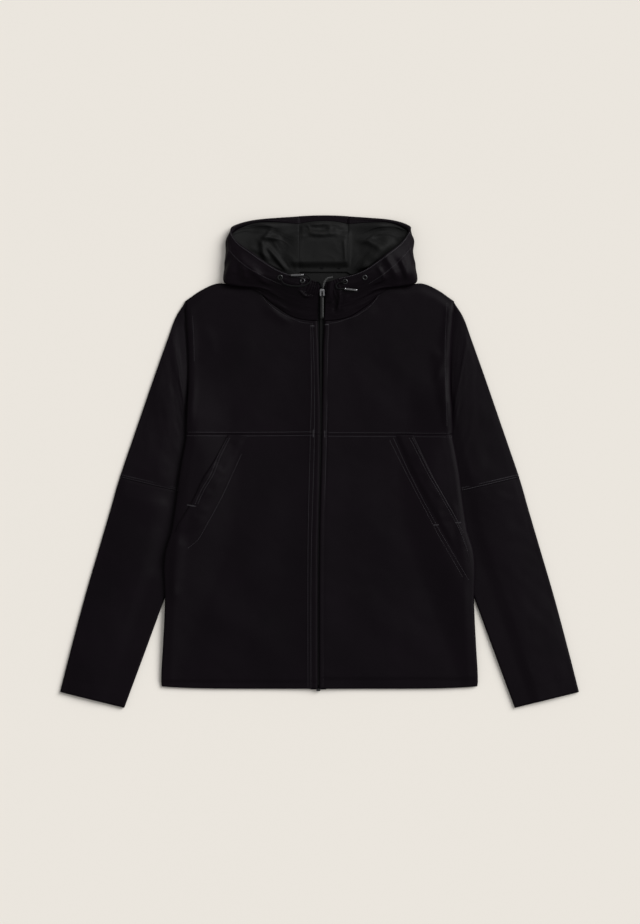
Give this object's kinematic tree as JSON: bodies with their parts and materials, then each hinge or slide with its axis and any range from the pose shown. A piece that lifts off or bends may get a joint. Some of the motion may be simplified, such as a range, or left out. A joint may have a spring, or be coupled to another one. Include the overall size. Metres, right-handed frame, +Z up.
{
  "type": "hooded softshell jacket",
  "caption": "Black hooded softshell jacket with a full front zip, chest seam, slanted pocket welts and metal-tipped hood cord, zipped up and laid flat front up.",
  "frame": {"origin": "middle of the garment in plan, on the surface it lies on", "axes": "+X to the wearer's left, +Y from the hem to the hood, +Z up, away from the surface"},
  "size_m": [0.86, 0.8167, 0.0322],
  "materials": {
    "softshell": "matt softshell face with a fine tight weave",
    "lining": "smooth neutral grey lining cloth",
    "zip_cloth": "woven tape and nylon coil",
    "cord": "braided round cord",
    "metal": "plated zip and cord hardware"
  },
  "bodies": {
    "jacket": {"back": "softshell", "front_left": "softshell", "front_right": "softshell", "chest_left": "softshell", "chest_right": "softshell", "pocket_welt_left": "softshell", "pocket_welt_right": "softshell", "sleeve_upper_left": "softshell", "sleeve_upper_right": "softshell", "sleeve_lower_left": "softshell", "sleeve_lower_right": "softshell", "hood_side_left": "softshell", "hood_side_right": "softshell", "hood_centre": "softshell", "hood_facing_left": "softshell", "hood_facing_right": "softshell", "hood_facing_top": "softshell", "hood_lining_left": "lining", "hood_lining_right": "lining", "hood_lining_centre": "lining", "zip_tape_left": "zip_cloth", "zip_tape_right": "zip_cloth", "zip_coil": "zip_cloth", "zip_coil_end_left": "zip_cloth", "zip_coil_end_right": "zip_cloth", "zip_guard": "softshell", "zip_slider": "metal", "zip_stop": "metal", "eyelet_left_inner": "metal", "eyelet_left_outer": "metal", "eyelet_right_inner": "metal", "eyelet_right_outer": "metal", "cord_left": "cord", "cord_right": "cord", "cord_tip_left": "metal", "cord_tip_right": "metal", "hang_loop": "zip_cloth"},
    "pull": {"zip_pull": "metal"}
  },
  "joints": [
    {"name": "zip_pull_hinge", "type": "hinge", "parent": "jacket", "child": "pull", "pos_m": [0.00449, 0.27854, 0.0221], "axis": [-1, 0, 0], "range_deg": [0, 150]}
  ]
}
